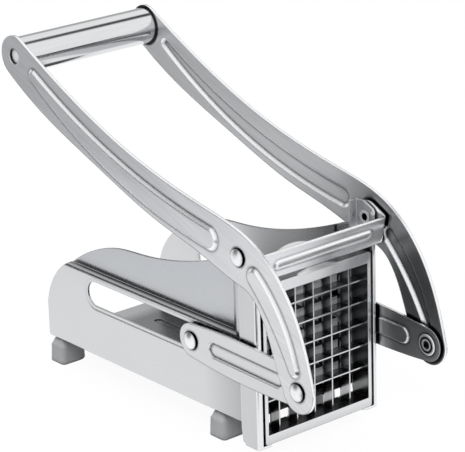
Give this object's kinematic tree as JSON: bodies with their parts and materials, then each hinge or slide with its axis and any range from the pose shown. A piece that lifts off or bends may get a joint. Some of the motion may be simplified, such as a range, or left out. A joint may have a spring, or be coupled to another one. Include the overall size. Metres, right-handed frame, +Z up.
{
  "type": "french fry cutter",
  "caption": "Free-standing lever cutter: a hinged two-armed handle drives a studded pusher through a grid of blades at the end of a steel trough.",
  "frame": {"origin": "middle of the footprint on the surface it stands on", "axes": "+Z up; -Y towards the blade end, +Y towards the grip; +X to the right"},
  "size_m": [0.1004, 0.2596, 0.1955],
  "materials": {
    "body_steel": "satin stainless sheet",
    "post_steel": "satin stainless sheet",
    "foot_rubber": "matt grey rubber",
    "rivet_steel": "bright steel",
    "washer_steel": "bright steel",
    "lever_steel": "satin stainless sheet",
    "grip_steel": "polished tube",
    "pusher_plastic": "moulded black plastic",
    "backing_steel": "plain steel sheet",
    "bush_nylon": "black nylon",
    "link_steel": "satin stainless sheet",
    "bracket_steel": "satin stainless sheet",
    "cassette_steel": "satin stainless sheet",
    "blade_steel": "ground blade strip"
  },
  "bodies": {
    "root": {"body_shell": "body_steel", "front_post_left": "post_steel", "front_post_right": "post_steel", "foot_front_left": "foot_rubber", "foot_front_right": "foot_rubber", "foot_rear_left": "foot_rubber", "foot_rear_right": "foot_rubber", "upper_rivet_left": "rivet_steel", "upper_rivet_right": "rivet_steel", "upper_washer_left": "washer_steel", "upper_washer_right": "washer_steel"},
    "lever": {"lever_arm_left": "lever_steel", "lever_arm_right": "lever_steel", "grip_tube": "grip_steel", "grip_plug_left": "grip_steel", "grip_plug_right": "grip_steel", "lower_rivet_left": "rivet_steel", "lower_rivet_right": "rivet_steel"},
    "pusher": {"pusher_plate": "pusher_plastic", "pusher_backing_plate": "backing_steel", "pusher_carriage": "backing_steel", "pusher_screws": "rivet_steel", "slide_axle": "rivet_steel", "axle_cap_left": "rivet_steel", "axle_cap_right": "rivet_steel", "slide_bush_left": "bush_nylon", "slide_bush_right": "bush_nylon"},
    "links": {"link_left": "link_steel", "link_right": "link_steel", "link_collar_left": "rivet_steel", "link_collar_right": "rivet_steel"},
    "lock_bracket": {"blade_lock_bracket": "bracket_steel"},
    "cassette": {"cassette_frame": "cassette_steel", "vertical_blades": "blade_steel", "horizontal_blades": "blade_steel"}
  },
  "joints": [
    {"name": "lever_hinge", "type": "hinge", "parent": "root", "child": "lever", "pos_m": [0, -0.07355, 0.1142], "axis": [1, 0, 0], "range_deg": [-14, 66]},
    {"name": "pusher_slide", "type": "slide", "parent": "root", "child": "pusher", "axis": [0, 1, 0], "range_m": [-0.0172, 0.0806]},
    {"name": "link_swing", "type": "hinge", "parent": "pusher", "child": "links", "pos_m": [0, -0.02985, 0.0545], "axis": [1, 0, 0], "range_deg": [-1.8, 8]},
    {"name": "bracket_swing", "type": "hinge", "parent": "root", "child": "lock_bracket", "pos_m": [0, -0.07355, 0.1142], "axis": [-1, 0, 0], "range_deg": [0, 180]},
    {"name": "cassette_lift", "type": "slide", "parent": "root", "child": "cassette", "axis": [0, 0, 1], "range_m": [0, 0.104]}
  ],
  "couplings": [
    {"joint": "pusher_slide", "follows": "lever_hinge", "m_per_rad": 0.0699},
    {"joint": "link_swing", "follows": "lever_hinge", "ratio": 0.12}
  ]
}
